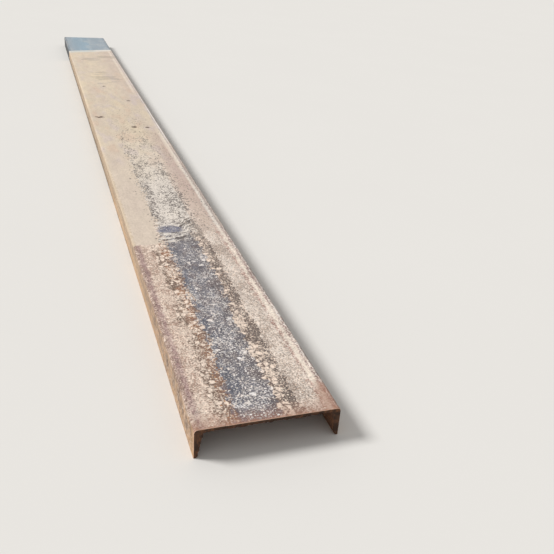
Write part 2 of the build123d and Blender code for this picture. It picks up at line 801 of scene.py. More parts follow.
@dataclass(frozen=True)
class DustCoat:
    """The smooth coat of dust that covers the far part of the web, worn through in dots where it begins.

    Args:
        warm_band: Colour of the warm ones among its long bands.
        dull_band: Colour of the dull ones.
        rosy_side: Its colour towards the right.
        cool_tint: Colour of its cool clouds.
        salmon_tint: Colour of its warm clouds.
        mauve_side: Colour of the grainy stretch on the right.
        mauve_middle: Middle of that stretch, in metres from the near end.
        dull_middle: Middle of the slightly darker stretch, in metres.
        rim: Where the pale rim runs, in millimetres across.
        chalk_line: Where the chalky line beside it runs.
        specked_strip: The strip that has dark specks.
    """

    warm_band: Colour = colour(226, 208, 178)
    dull_band: Colour = colour(200, 181, 170)
    rosy_side: Colour = colour(203, 184, 172)
    cool_tint: Colour = colour(206, 191, 186)
    salmon_tint: Colour = colour(214, 185, 162)
    mauve_side: Colour = colour(186, 162, 154)
    mauve_middle: float = 2.05
    dull_middle: float = 3.1
    rim: float = 368
    chalk_line: float = 348
    specked_strip: Band = (90, 130, 320, 350)

    def layer(self, spot: Spot, lanes: LaneMix) -> Layer:
        """Lays the coat.

        Args:
            spot: The point.
            lanes: What the lanes give there.

        Returns:
            The coat's colour and relief.
        """
        g, across, along, flecks = spot.graph, spot.across, spot.along, spot.flecks
        streaks = g.noise(26, 0.3, 4, 13)
        bands = g.noise(110, 0.28, 4, 17)
        grain = g.noise(7, 0.4, 3, 43)
        tints = g.noise(70, 0.3, 4, 87)
        rosy = (across + (bands - 0.5) * 260).smooth(210, 300) * along.smooth(2.9, 3.8)
        tinted = along.smooth(1.7, 2.3) * along.smooth(4.2, 3.4, 0.6, 1.0)
        mauve = (across + (bands - 0.5) * 120 + (grain - 0.5) * 60).smooth(262, 330) * across.smooth(352, 343)
        mauve = mauve * abs(along - self.mauve_middle).smooth(0.85, 0.3) * grain.smooth(0.38, 0.6, 0.2, 0.75)
        rim = abs(across - self.rim).smooth(5, 2) * along.smooth(1.9, 2.7) * bands.smooth(0.36, 0.5, 0.4, 1.0)
        dull = abs(along - self.dull_middle)
        pale = along.smooth(1.8, 2.0) * dull.smooth(0.35, 0.65) * abs(across - self.chalk_line).smooth(13, 6)
        coat = g.blend(along.smooth(1.5, 2.7) * abs(across - 182).smooth(182, 168), lanes.coat, FAR_COAT)
        coat = g.glaze(
            g.scaled(coat, dull.smooth(0.7, 0.3, 1.01, 0.97)),
            (bands.smooth(0.5, 0.66) * along.smooth(1.8, 3.4, 0.15, 0.5), self.warm_band),
            (bands.smooth(0.46, 0.34) * along.smooth(1.2, 3.4, 0.15, 0.35), self.dull_band),
            (rosy * 0.55, self.rosy_side),
            (tints.smooth(0.52, 0.64) * tinted * 0.5, self.cool_tint),
            (tints.smooth(0.47, 0.34) * tinted * 0.4, self.salmon_tint),
            (mauve, self.mauve_side),
            (rim * along.smooth(3.2, 3.8, 0.75, 0.4), RIM_LIGHT),
            (pale * 0.4, CREAM),
        )
        coat = g.scaled(coat, (streaks - 0.5) * 0.3 + (grain - 0.5) * 0.4 + 1)

        clumps = (g.noise(15, 0.42, 3, 19) - 0.5) * along.smooth(1.3, 2.6, 2.4, 1.2)
        clumps = clumps + (g.noise(80, 0.5, 2, 20) - 0.5) * 1.5
        wear = lanes.worn * along.smooth(2.9, 1.15, 0.05, 0.75) + clumps * lanes.worn.smooth(0.05, 0.3)
        dots = flecks.dotted(flecks.chance < wear * along.smooth(3.2, 2.3), flecks.tint * 0.2 + 0.4, 0.14)
        peppered = across.band(*self.specked_strip) * along.smooth(3.6, 2.4) * 0.2
        specks = flecks.dotted(flecks.chance > 1 - peppered, 0.4, 0.2)
        bare = g.scaled(WORN_GREY, (flecks.tint - 0.5) * 0.5 + 1)
        shade = g.glaze(coat, (specks * 0.4, SCUFF_BROWN), (dots * 0.92, bare))
        return Layer(shade, streaks * 0.5 + grain * 0.35 - dots * 0.35)


@dataclass(frozen=True)
class WebMarks:
    """What lies over the crust and the coat: smears where the coat begins, a bare patch, scuffs and smudges.

    Args:
        smear_middle: Where the smears lie thickest, in metres from the near end.
        smear_slant: How much further they lie for each metre to the right.
        smear_strip: The strip across the web that has them.
        ridge: Colour of the smears' ridges.
        patch: Colour of the bare patch.
        smudge: Colour of the faint smudges.
    """

    smear_middle: float = 1.18
    smear_slant: float = 0.5
    smear_strip: Band = (98, 124, 250, 280)
    ridge: Colour = colour(236, 226, 214)
    patch: Colour = colour(110, 112, 132)
    smudge: Colour = colour(158, 148, 136)

    def over(self, spot: Spot, web: Layer) -> Layer:
        """Adds the marks.

        Args:
            spot: The point.
            web: The web so far.

        Returns:
            The web with its marks.
        """
        g, across, along = spot.graph, spot.across, spot.along
        slant = g.x * self.smear_slant
        bend = g.noise(60, 0.6, 2, 33) * 0.12
        drag = g.noise(14, (0.4, 1, 1), 3, 29, g.point(g.x, g.y + bend - slant))
        zone = abs(along - slant - self.smear_middle).smooth(0.14, 0.07) * across.band(*self.smear_strip)
        gaps, ridges = drag.smooth(0.48, 0.42) * 0.9, drag.smooth(0.54, 0.6) * 0.85
        shade = g.glaze(web.shade, (zone * gaps, WORN_GREY), (zone * ridges, self.ridge))

        wobble = (g.noise(26, (0.35, 1, 1), 3, 23) - 0.5) * 2.4
        torn = (g.noise(20, 0.4, 3, 27) - 0.5) * 5
        broken = (g.noise(60, (0.6, 1, 1), 5, 83) - 0.5) * 13
        marks = [(BARE_PATCH, self.patch, 0.8, wobble)]
        marks += [(scuff, SCUFF_BROWN, 0.85, torn) for scuff in SCUFFS]
        marks += [(smudge, self.smudge, 0.35, broken) for smudge in SMUDGES]
        for mark, tint, strength, edge in marks:
            x = (across - mark.across) / mark.half_width
            y = (along / MM - mark.along) / mark.half_length
            shade = g.blend((x * x + y * y + edge).smooth(1.4, 0.3) * strength, shade, tint)
        return Layer(shade, web.lift + zone * drag * 6)


@dataclass(frozen=True)
class FlangeRust:
    """The backs of the flanges: streaked rust and dust, mottled near the cut, with painted shade towards the
    toes; far off the toes are darker still, partly dirt and partly painted shade.

    The left one has a pale painted highlight along its heel, which faces the light; its height is in
    millimetres from the toes.
    """

    near_dark: Colour = colour(118, 103, 90)
    near_light: Colour = colour(202, 170, 140)
    far_dark: Colour = colour(156, 136, 114)
    far_light: Colour = colour(198, 177, 152)
    stains: Colour = colour(112, 100, 90)
    near_toe: Colour = colour(218, 180, 140)
    far_toe_dirt_and_shade: Colour = colour(84, 74, 62)
    clods: Colour = colour(112, 100, 86)
    dark_grains: Colour = colour(114, 89, 74)
    pale_grains: Colour = colour(218, 194, 174)
    sheltered_side: Colour = colour(120, 92, 74)
    pits: Colour = colour(148, 106, 80)
    left_heel_painted_highlight: Colour = colour(186, 178, 158)
    highlight_height: float = 83.2

    def layer(self, spot: Spot) -> Layer:
        """Colours the flanges.

        Args:
            spot: The point.

        Returns:
            The flanges' colour and relief.
        """
        g, along, height = spot.graph, spot.along, spot.height
        streak = g.noise(9, 0.06, 3, 31)
        runs = g.noise(30, (1, 1, 0.25), 3, 37)
        grain = g.noise(8, 0.7, 6, 41)
        mix = (streak * 0.28 + runs * 0.32 + grain * 0.4).smooth(0.4, 0.6)
        near, far = g.blend(mix, self.near_dark, self.near_light), g.blend(mix, self.far_dark, self.far_light)
        stain = g.noise(20, (1, 0.75, 0.9), 7, 45).smooth(0.49, 0.56) * along.smooth(1.15, 0.3)
        toe = (height + (streak - 0.5) * 60).smooth(abs(along - 1.5).smooth(0.8, 0.4, 44, 62), 8)
        clods = g.noise(70, 0.4, 4, 39).smooth(0.5, 0.58) * (height + streak * 12).smooth(26, 14)
        worn = along.smooth(1.1, 0.0, 0.12, 0.7)
        pits = g.noise(3.6, 0.9, 4, 51).smooth(0.54, 0.64) * runs.smooth(0.4, 0.6, 0.25, 0.6)
        shade = g.glaze(
            g.blend(along.smooth(0.4, 1.6), near, far),
            (stain * height.smooth(4, 50, 0.35, 0.85), self.stains),
            # Along the toes: warm near the cut and dark far off, where the dark is partly dirt and partly
            # painted contact shade.
            (toe * (0.6 - stain * 0.3), g.blend(along.smooth(1.5, 2.3), self.near_toe, self.far_toe_dirt_and_shade)),
            (clods * along.smooth(0.7, 1.2) * 0.55, self.clods),
            (grain.smooth(0.53, 0.62) * worn, self.dark_grains),
            (grain.smooth(0.48, 0.40) * worn * 0.95, self.pale_grains),
            (g.x.smooth(-0.1, 0.1) * 0.35, self.sheltered_side),
            (pits * along.smooth(4.0, 0.3, 0.5, 1.0), self.pits),
        )
        # Painted shade: each flange is up to a tenth darker towards its toes, against the light that the
        # floor throws up.
        shade = g.scaled(shade, (grain - 0.5) * 0.5 + height.smooth(34, 0, 1.0, 0.9))
        # Painted highlight: a pale line along the left heel, the rounded corner that faces the light.
        line = abs(height - self.highlight_height).smooth(2.2, 0.8) * g.x.smooth(0.0, -0.1)
        line = line * g.noise(40, 0.2).smooth(0.36, 0.5)
        return Layer(g.blend(line * 0.8, shade, self.left_heel_painted_highlight), streak * 0.3 + grain - pits * 0.4)


@dataclass(frozen=True)
class FarPaint:
    """The mark of blue-grey paint that is brushed over the far end, with a pale line along its edge.

    Args:
        edge: Where it begins on the left side, in metres from the near end.
        slant: How much further it begins on the right side.
        warm_line: Colour of the pale line, and of the dust.
        cool_line: Colour of the pale line towards the left.
        thin: Thin paint.
        full: Full paint.
        shaded: Paint on the flanges.
    """

    edge: float = 5.28
    slant: float = 0.11
    warm_line: Colour = colour(226, 219, 208)
    cool_line: Colour = colour(196, 204, 202)
    thin: Colour = colour(150, 162, 171)
    full: Colour = colour(143, 163, 176)
    shaded: Colour = colour(56, 62, 67)

    def over(self, spot: Spot, shade: Field, length: float) -> tuple[Field, Field]:
        """Brushes the paint on.

        Args:
            spot: The point.
            shade: The colour so far.
            length: The bar's length.

        Returns:
            The colour with the paint, and how far it covers.
        """
        g, across, flange = spot.graph, spot.across, spot.flange
        edge = across / spot.width * self.slant + self.edge
        past = spot.along - edge + (g.noise(30, seed=3) - 0.5) * 0.012
        painted = past.smooth(0, 0.008)
        chalk = past.smooth(-0.11, -0.05) * (1 - flange) * g.noise(90, seed=9).smooth(0.3, 0.6, 0.35, 1.0)
        line = g.blend(across.smooth(250, 205) * 0.6, self.warm_line, self.cool_line)
        shade = g.blend(g.clip(chalk), shade, line)
        brushed = g.noise(60, 0.12, 3, 21)
        bristles = g.noise(5, 0.05, 3, 73)
        paint = g.glaze(
            self.thin,
            (g.clip(abs(across - 140).smooth(110, 40) * brushed * 1.9), self.full),
            (g.most(across.smooth(24, 2) * 0.55, flange), self.shaded),
            # Painted light: the paint on the right flange, which lies in shade, is lifted halfway towards the
            # thin paint.
            (g.x.smooth(0.1, 0.18) * flange * 0.5, self.thin),
        )
        # Painted shade: the paint is darker towards the toes, against the floor's bounce light, and on the
        # right heel, which turns away from the light.
        paint = g.scaled(paint, spot.height.smooth(64, 4, 1.0, 0.5) * across.smooth(350, 372, 1.0, 0.84))
        paint = g.scaled(paint, (brushed - 0.5) * 0.3 + (bristles - 0.5) * 0.16 + 1)
        dust = g.noise(70, 0.4, 5, 75).smooth(0.5, 0.7) * (0.2 - flange * 0.15)
        paint = g.blend(dust, paint, self.warm_line)
        heels = spot.height.smooth(76, 84) * abs(across - WEB_MIDDLE).smooth(168, 188)
        exposed = (length - spot.along).smooth(0.05, 0.0) + heels
        chips = (g.noise(7, 0.7, 4, 77) + exposed * 0.07).smooth(0.66, 0.69) * painted
        painted = painted * (1 - chips * 0.9)
        return g.blend(painted, g.blend(chips, shade, SCUFF_BROWN), paint), painted


@dataclass(frozen=True)
class EndRust:
    """The rust that has crept in from the near cut, deepest at the right corner, and the cut's bright edge.

    Args:
        reach: How far it has crept, in metres.
        corner_reach: How much further at the right corner.
        right_corner: Where that corner begins and where it is full, in millimetres across.
        left_corner: The same for the left corner, which is a little darker.
        on_web: Its colour on the web.
        on_flange: Its colour on the flanges.
        bright: Colour of the cut's edge.
    """

    reach: float = 0.07
    corner_reach: float = 0.09
    right_corner: Span = (320, 366)
    left_corner: Span = (50, 22)
    on_web: Colour = colour(164, 119, 98)
    on_flange: Colour = colour(206, 162, 112)
    bright: Colour = colour(214, 176, 152)

    def over(self, spot: Spot, shade: Field) -> Field:
        """Adds the rust.

        Args:
            spot: The point.
            shade: The colour so far.

        Returns:
            The colour with the rust.
        """
        g, across, along, flange = spot.graph, spot.across, spot.along, spot.flange
        ragged = along + (g.noise(16, seed=5) - 0.5) * 0.04
        corner = across.smooth(*self.right_corner) * (1 - flange)
        crept = (ragged - corner * self.corner_reach).smooth(self.reach, 0.0)
        rust = g.blend(flange, self.on_web, self.on_flange)
        shade = g.blend(crept * (corner * 0.15 + 0.55 - flange * 0.2), shade, rust)
        shade = g.blend(ragged.smooth(0.010, 0.0) * (0.6 - flange * 0.3), shade, self.on_web)
        darker = across.smooth(*self.left_corner) * along.smooth(0.15, 0.09) * (1 - flange)
        shade = g.scaled(shade, darker * -0.11 + 1)
        return g.blend(along.smooth(0.0035, 0.001) * 0.8, shade, self.bright)


@dataclass(frozen=True)
class WeatheredSkin:
    """The outside of the bar: crust, dust and marks on the web, streaked flanges, far paint and near rust.

    Args:
        section: The bar that it covers.
        coat_edge: Where the smooth dust coat begins, in metres from the near end.
        crisp_side: Where that edge turns from crisp to soft, in millimetres across.
    """

    section: ChannelSection
    coat_edge: float = 1.06
    crisp_side: Span = (100, 116)

    def build(self) -> bpy.types.Material:
        """Makes the material.

        Returns:
            The material of the web's back and the flanges' backs.
        """
        g = SurfaceGraph("weathered_skin")
        spot = Spot.on(g, self.section)
        outside = self._web(spot).under(FlangeRust().layer(spot), spot.flange)
        shade, painted = FarPaint().over(spot, outside.shade, self.section.length)
        shade = EndRust().over(spot, shade)
        return g.finish(shade, painted.smooth(0.0, 1.0, 0.9, 0.6), outside.lift * (1 - painted * 0.7))

    def _web(self, spot: Spot) -> Layer:
        """Colours the web's back: the near crust, then the dust coat, whose edge is crisp on the left only.

        Args:
            spot: The point.

        Returns:
            The web's colour and relief.
        """
        lanes, blobs, edge = LaneMix.at(spot), spot.blobs, self.coat_edge
        crisp = (spot.along + (spot.graph.noise(14) - 0.5) * 0.03).smooth(edge - 0.004, edge + 0.006)
        soft = (spot.along + (blobs.chance - 0.5) * 0.1).smooth(edge - 0.02, edge + 0.24)
        right = (spot.across + (blobs.tint - 0.5) * 20).smooth(*self.crisp_side)
        past = crisp * (1 - right) + soft * right
        web = NearCrust().layer(spot, lanes).under(DustCoat().layer(spot, lanes), past)
        return WebMarks().over(spot, web)


@dataclass(frozen=True)
class TroughRust:
    """The inside of the bar: brown rust with scale left on it and a little dust."""

    rust: Colour = colour(146, 98, 68)
    deep: Colour = colour(96, 68, 54)
    scale: Colour = colour(98, 92, 92)
    dust: Colour = colour(184, 158, 130)
    toe_dust: Colour = colour(190, 160, 136)

    def build(self) -> bpy.types.Material:
        """Makes the material.

        Returns:
            The material of the web's underside, the flanges' insides and the toes.
        """
        g = SurfaceGraph("trough_rust")
        blots = g.noise(40, 0.3, 6, 43)
        grain = g.noise(5, 0.8, 4, 47)
        powder = g.noise(3, 0.7, 5, 49)
        scale = g.noise(110, 0.2, 7, 53).smooth(0.5, 0.64)
        dusty = g.noise(140, 0.5, 3, 59).smooth(0.42, 0.62, 0.15, 0.8)
        shade = g.glaze(
            self.deep,
            ((blots * 0.6 + grain * 0.4).smooth(0.36, 0.62), self.rust),
            (scale * 0.7, self.scale),
            ((grain * 0.5 + powder * 0.5).smooth(0.48, 0.64) * dusty, self.dust),
            ((g.z / MM + grain * 6).smooth(9, 3) * 0.7, self.toe_dust),
        )
        return g.finish(shade, grain.smooth(0.3, 0.7, 0.82, 0.95), grain * 0.5 + blots * 0.3 + scale * 0.2)


@dataclass(frozen=True)
class CutSteel:
    """The two cut ends: dark rust over the marks that the saw left, with painted shade: every colour is
    darkened to stand for shade on the ends.
    """

    dark: Colour = colour(60, 42, 32)
    brown: Colour = colour(84, 59, 44)
    orange: Colour = colour(118, 76, 48)

    def build(self) -> bpy.types.Material:
        """Makes the material.

        Returns:
            The material of the end faces and of the burr along their lower edges.
        """
        g = SurfaceGraph("cut_steel")
        blots = g.noise(12, detail=4, seed=61)
        saw = g.noise(2.2, (1, 1, 0.08), 2, 67)
        rusty = (blots * 0.5 + saw * 0.5).smooth(0.52, 0.62) * 0.7
        shade = g.glaze(self.dark, (blots.smooth(0.36, 0.6), self.brown), (rusty, self.orange))
        return g.finish(shade, 0.88, saw * 0.4 + blots * 0.5)


@dataclass(frozen=True)
class FlakeFinish:
    """Loose scale or dust in small flakes, each in its own shade from the darkest to the lightest."""

    name: str
    dark: Colour
    middle: Colour
    light: Colour

    def build(self) -> bpy.types.Material:
        """Makes the material.

        Returns:
            The material, which reads each flake's shade from the mesh.
        """
        g = SurfaceGraph(self.name)
        own = g.make("ShaderNodeAttribute", output=2, attribute_name=FlakeField.SHADE)
        shade = g.ramp(own, [(0.1, self.dark), (0.5, self.middle), (0.95, self.light)])
        grain = g.noise(2.5, detail=3, seed=71)
        shade = g.scaled(shade, (grain - 0.5) * 0.3 + 1)
        return g.finish(shade, grain.smooth(0.3, 0.7, 0.8, 0.95), grain * 0.3)


@dataclass
class ChannelBar:
    """The rolled bar itself, swept from its section, with the waves, pits and ragged cuts of a used one.

    Args:
        section: The section and its length.
        top_pitch: Distance between points across the outside.
        inner_pitch: Distance between points across the inside.
        heel_points: Number of points round a heel.
        root_points: Number of points round a root.
        toe_points: Number of points round a toe.
        rings: How many sections the bar has along its length.
        end_crowding: How much closer the sections stand towards the ends, 0 to 0.45.
        cut_round: How far the edge of a cut is worn back.
        cut_rag: How deep the cut's edge wanders.
        wave: Depth of the long waves that rolling leaves.
        pit: Depth of the rust pits.
        dent: Depth of the knocks along the heels.
        crease: The angle, in degrees, past which an edge stays sharp.
        seed: Moves every random pattern.
    """

    section: ChannelSection
    top_pitch: float = 7 * MM
    inner_pitch: float = 15 * MM
    heel_points: int = 9
    root_points: int = 6
    toe_points: int = 5
    rings: int = 600
    end_crowding: float = 0.36
    cut_round: float = 0.9 * MM
    cut_rag: float = 1.6 * MM
    wave: float = 0.4 * MM
    pit: float = 0.4 * MM
    dent: float = 1.2 * MM
    crease: float = 38.0
    seed: float = 5.0

    def build(self, *finishes: bpy.types.Material) -> bpy.types.Object:
        """Makes the bar.

        Args:
            *finishes: Materials of the outside, of the inside with the toes, and of the two ends.

        Returns:
            The bar as one closed mesh.
        """
        g = ShapeGraph("rolled_channel")
        half_length = g.size("Length", self.section.length) * 0.5
        profile = self._profile(g)
        inputs = {"Curve": self._path(g, half_length), "Profile Curve": profile, "Fill Caps": True}
        bar = self._wear(g, g.make("GeometryNodeCurveToMesh", inputs))
        end_face = abs(g.split(g.make("GeometryNodeInputNormal"))[1]) > 0.7
        faces = (True, g.read("inside") > 0.5, end_face)
        piece = g.grow("rolled_bar", bar, *zip(finishes, faces, strict=True))
        piece.data.shade_smooth()
        piece.data.set_sharp_from_angle(angle=math.radians(self.crease))
        return piece

    def _profile(self, g: ShapeGraph) -> Field:
        """Draws the section: eight corners, rounded, with more points along its straight sides.

        Args:
            g: The bar's tree.

        Returns:
            The closed outline, with "inside" and "outward" written on its points.
        """
        s = self.section
        half = g.size("Depth", s.depth) * 0.5
        width = g.size("Flange Width", s.flange_width)
        under = width - g.size("Web Thickness", s.web_thickness)
        thick = g.size("Flange Thickness", s.flange_thickness)
        slope = under * g.size("Flange Taper", s.flange_taper) * 0.5
        toe, root = half - (thick - slope), half - (thick + slope)
        heel_radius = g.size("Heel Radius", s.heel_radius)
        root_radius = g.size("Root Radius", s.root_radius)
        toe_radius = g.size("Toe Radius", s.toe_radius)
        right = [(half, width), (half, 0.0), (toe, 0.0), (root, under)]
        left = [(-1 * x, height) for x, height in reversed(right)]
        corners = [g.point(x, -1 * z if isinstance(z, Field) else 0.0) for x, z in right + left]
        radii = [heel_radius, 0.0, toe_radius, root_radius]
        counts = [self.heel_points, 1, self.toe_points, self.root_points]
        inside = [0.0, 0.0, 1.0, 1.0]

        loop = g.make("GeometryNodeCurvePrimitiveCircle", {"Resolution": len(corners)})
        outline = g.place(loop, g.pick("VECTOR", corners))
        outline = g.store(outline, "inside", g.pick("FLOAT", inside + inside[::-1]))
        arcs = g.pick("INT", counts + counts[::-1]), g.pick("FLOAT", radii + radii[::-1])
        outline = g.rounded(outline, *arcs)

        pitch = g.read("inside") * (self.inner_pitch - self.top_pitch) + self.top_pitch
        points = g.make("GeometryNodeAttributeDomainSize", {0: outline}, "Point Count", component="CURVE")
        following = g.math("MODULO", g.make("GeometryNodeInputIndex") + 1, points)
        inputs = {"Index": following, "Value": g.position}
        there = g.make("GeometryNodeFieldAtIndex", inputs, data_type="FLOAT_VECTOR")
        gap = g.make("ShaderNodeVectorMath", {0: there, 1: g.position}, "Value", operation="DISTANCE")
        cuts = g.math("FLOOR", gap / pitch, 0.0)
        outline = g.make("GeometryNodeSubdivideCurve", {"Curve": outline, "Cuts": cuts})
        tangent = g.split(g.make("GeometryNodeInputTangent"))
        return g.store(outline, "outward", g.point(tangent[1], 0.0, tangent[0]), "FLOAT_VECTOR")

    def _path(self, g: ShapeGraph, half_length: Field) -> Field:
        """Draws the line that the section is swept along, with its points closer together towards the ends.

        Args:
            g: The bar's tree.
            half_length: Half the bar's length.

        Returns:
            The path, as a curve.
        """
        line = g.line((0, -1, 0), (0, 1, 0), g.size("Rings", self.rings))
        crowding = g.size("End Crowding", self.end_crowding)
        place = (g.y * (crowding + 1) - g.y * g.y * g.y * crowding) * half_length
        limit = half_length - g.size("Cut Round", self.cut_round)
        last = abs(g.y) > 1 - 0.5 / self.rings
        sign = g.math("SIGN", g.y, 0.0)
        inner = g.math("MINIMUM", abs(place), limit) * sign
        return g.place(line, g.point(0.0, inner * (1 - last) + sign * half_length * last))

    def _wear(self, g: ShapeGraph, bar: Field) -> Field:
        """Moves the surface in a little: waves, pits, knocks along the heels and ragged cuts.

        Args:
            g: The bar's tree.
            bar: The plain swept bar.

        Returns:
            The worn bar, which nowhere stands out of the plain one.
        """
        s = self.section
        wave = g.noise(300, 0.5, 1, self.seed) * g.size("Wave", self.wave)
        pits = g.noise(24, 0.8, 1, self.seed + 3).smooth(0.55, 0.7) * g.size("Pit", self.pit)
        sides, top, ends = abs(g.x) - s.half_depth, g.z - s.flange_width, abs(g.y) - s.half_length
        heel_band, cut_band, cut_edge = (-14 * MM, -5 * MM), (-14 * MM, -2 * MM), (-0.6 * MM, -0.1 * MM)
        heels = sides.smooth(*heel_band) * top.smooth(*heel_band)
        knocks = g.noise(38, detail=1, seed=self.seed + 9).smooth(0.6, 0.72)
        dents = heels * knocks * g.size("Dent", self.dent)
        worn_back = ends.smooth(*cut_edge) * self.cut_round
        depth = (wave + pits + dents) * (1 - g.read("inside")) + worn_back
        bar = g.move(bar, g.scaled(g.read("outward", "FLOAT_VECTOR"), depth * -1))
        rag = g.noise(16, 0, 3, self.seed + 13) * g.size("Cut Rag", self.cut_rag)
        return g.move(bar, g.point(0.0, ends.smooth(*cut_band) * rag * g.math("SIGN", g.y, 0.0) * -1))


@dataclass(frozen=True)
class FlakeSize:
    """How flakes are sized and spaced.

    Args:
        spacing: Least distance between two flakes.
        smallest: Radius of the smallest flake.
        largest: Radius of the largest flake.
        thickness: Thickness of a flake.
    """

    spacing: float
    smallest: float
    largest: float
    thickness: float


@dataclass
class FlakeField:
    """Thin flakes of scale, rust or dried dust, scattered over one strip of the web.

    Args:
        name: The piece's name.
        section: The bar that they lie on.
        across: Where the strip begins and ends across the web, in millimetres from the left flange's back.
        along: Where it begins and ends, in metres from the near end.
        flake: Sizes of a flake.
        cover: How much of the strip has flakes, 0 to 1. They gather in patches.
        fade: How much thinner they lie at the far end of the strip, 0 to 1.
        seed: Moves every random choice.
        sunk: How deep a flake's middle lies under the plain web.
        grid_pitch: Width of the squares that the strip is made of.
        rim: How far from the strip's sides the flakes thin out.
    """

    SHADE = "flake_shade"

    name: str
    section: ChannelSection
    across: Span
    along: Span
    flake: FlakeSize
    cover: float
    fade: float
    seed: int
    sunk: float = 0.35 * MM
    grid_pitch: float = 8 * MM
    rim: float = 9 * MM

    def build(self, material: bpy.types.Material) -> bpy.types.Object:
        """Makes the flakes.

        Args:
            material: What they are made of.

        Returns:
            All the flakes as one mesh.
        """
        g = ShapeGraph(self.name)
        seed = g.size("Seed", self.seed)
        inputs = {
            "Mesh": self._strip(g),
            "Distance Min": g.size("Spacing", self.flake.spacing),
            "Density Max": 2 / self.flake.spacing**2,
            "Density Factor": self._density(g),
            "Seed": seed,
        }
        points = g.make("GeometryNodeDistributePointsOnFaces", inputs, distribute_method="POISSON")
        points = g.store(points, self.SHADE, g.random(1.0, seed + 1))
        turn = g.point(z=g.random(math.tau, seed + 2))
        spread = g.random(1.0, seed + 3)
        smallest = g.size("Smallest", self.flake.smallest)
        radius = smallest + (g.size("Largest", self.flake.largest) - smallest) * spread * spread
        plate = {"Vertices": 7, "Radius Top": 0.72, "Radius Bottom": 1.0, "Depth": 1.0}
        inputs = {
            "Points": points,
            "Instance": g.make("GeometryNodeMeshCone", plate),
            "Rotation": g.make("FunctionNodeEulerToRotation", {0: turn}),
            "Scale": g.point(radius, radius * 0.8, g.size("Thickness", self.flake.thickness)),
        }
        flakes = g.make("GeometryNodeInstanceOnPoints", inputs)
        flakes = g.make("GeometryNodeRealizeInstances", {"Geometry": flakes})
        return g.grow(self.name, self._roughen(g, flakes), (material, True))

    @property
    def _edges(self) -> Band:
        """Places the strip in the frame of the bar.

        Returns:
            The strip's left, right, near and far edges.
        """
        left, right = (edge * MM - self.section.half_depth for edge in self.across)
        near, far = (edge - self.section.half_length for edge in self.along)
        return left, right, near, far

    def _strip(self, g: ShapeGraph) -> Field:
        """Makes the flat strip that the flakes are scattered on, a hair below the web's surface.

        Args:
            g: The flakes' tree.

        Returns:
            The strip, as a grid.
        """
        left, right, near, far = self._edges
        inputs = {
            "Size X": right - left,
            "Size Y": far - near,
            "Vertices X": math.ceil((right - left) / self.grid_pitch),
            "Vertices Y": math.ceil((far - near) / self.grid_pitch),
        }
        middle = ((left + right) / 2, (near + far) / 2, self.section.flange_width - self.sunk)
        grid = g.make("GeometryNodeMeshGrid", inputs)
        return g.make("GeometryNodeTransform", {0: grid, "Translation": middle})

    def _density(self, g: ShapeGraph) -> Field:
        """Says how thickly the flakes lie: in patches, thinning out towards the far end and at the sides.

        Args:
            g: The flakes' tree.

        Returns:
            The density, 0 to 1.
        """
        left, right, near, far = self._edges
        blur, level = 0.06, 0.5 + (0.5 - self.cover) * 0.4
        patches = g.noise(32, 0.6, 2, self.seed * 3).smooth(level - blur, level + blur)
        sides = g.x.band(left, left + self.rim, right - self.rim, right)
        return patches * sides * g.y.smooth(near, far, 1, 1 - self.fade)

    def _roughen(self, g: ShapeGraph, flakes: Field) -> Field:
        """Moves every corner of the even flakes a little, so that no two have one outline."""
        waves, reach = self.flake.largest / MM * 0.8, self.flake.largest * 1.1
        return g.move(flakes, g.point(*((g.noise(waves, detail=0, seed=s) - 0.5) * reach for s in (3, 5))))


class End(Enum):
    """The two ends of the bar, by the side of its middle that they lie on."""

    NEAR = -1
    FAR = 1


@dataclass
class CutBurr:
    """The lumpy bead of metal that the cut has left along the inner edge of each end.

    Args:
        section: The bar that it is on.
        radius: Radius of the largest lump.
        pitch: Distance between points along the bead.
        sides: Number of flat sides round it.
        inset: How far the largest lump stays behind the end.
        toe_gap: Height of its lower ends above the toes.
        corner_points: Number of points round a root.
        seed: Moves the lumps.
    """

    section: ChannelSection
    radius: float = 2.3 * MM
    pitch: float = 2.2 * MM
    sides: int = 7
    inset: float = 0.4 * MM
    toe_gap: float = 4 * MM
    corner_points: int = 6
    seed: float = 21.0

    def build(self, material: bpy.types.Material) -> bpy.types.Object:
        """Makes the beads.

        Args:
            material: The finish of a cut end.

        Returns:
            Both beads as one mesh.
        """
        g = ShapeGraph("cut_burr")
        edge = self._edge(g)
        joined = g.node("GeometryNodeJoinGeometry")
        for end in End:
            g.plug(joined, {0: self._bead(g, edge, end)})
        piece = g.grow("cut_burr", g.out(joined), (material, True))
        piece.data.shade_smooth()
        return piece

    def _edge(self, g: ShapeGraph) -> Field:
        """Draws the inner edge of a cut, from toe to toe, in the plane of the end.

        Args:
            g: The beads' tree.

        Returns:
            The edge, as a curve.
        """
        s = self.section
        slope = s.under * s.flange_taper / 2
        toe, root = (s.half_depth - s.flange_thickness + side * slope for side in (1, -1))
        corners = [(-toe, 0, self.toe_gap), (-root, 0, s.under), (root, 0, s.under), (toe, 0, self.toe_gap)]
        line = g.place(g.line((0, 0, 0), (1, 0, 0), len(corners)), g.pick("VECTOR", corners))
        line = g.rounded(line, self.corner_points, g.size("Root Radius", s.root_radius))
        inputs = {"Curve": line, "Length": g.size("Pitch", self.pitch)}
        return g.make("GeometryNodeResampleCurve", inputs, mode="LENGTH")

    def _bead(self, g: ShapeGraph, edge: Field, end: End) -> Field:
        """Makes one bead.

        Args:
            g: The beads' tree.
            edge: The inner edge of a cut.
            end: The end that it is on.

        Returns:
            The bead's mesh.
        """
        thick = g.size(f"Radius {end.name.lower()}", self.radius)
        lumps = g.noise(17, seed=self.seed + end.value).smooth(0.42, 0.66, 0.16, 1.0)
        ring = g.make("GeometryNodeCurvePrimitiveCircle", {"Resolution": self.sides, "Radius": thick})
        inputs = {"Curve": edge, "Profile Curve": ring, "Scale": lumps, "Fill Caps": True}
        shift = (0.0, end.value * (self.section.half_length - self.radius - self.inset), 0.0)
        bead = g.make("GeometryNodeCurveToMesh", inputs)
        return g.make("GeometryNodeTransform", {0: bead, "Translation": shift})


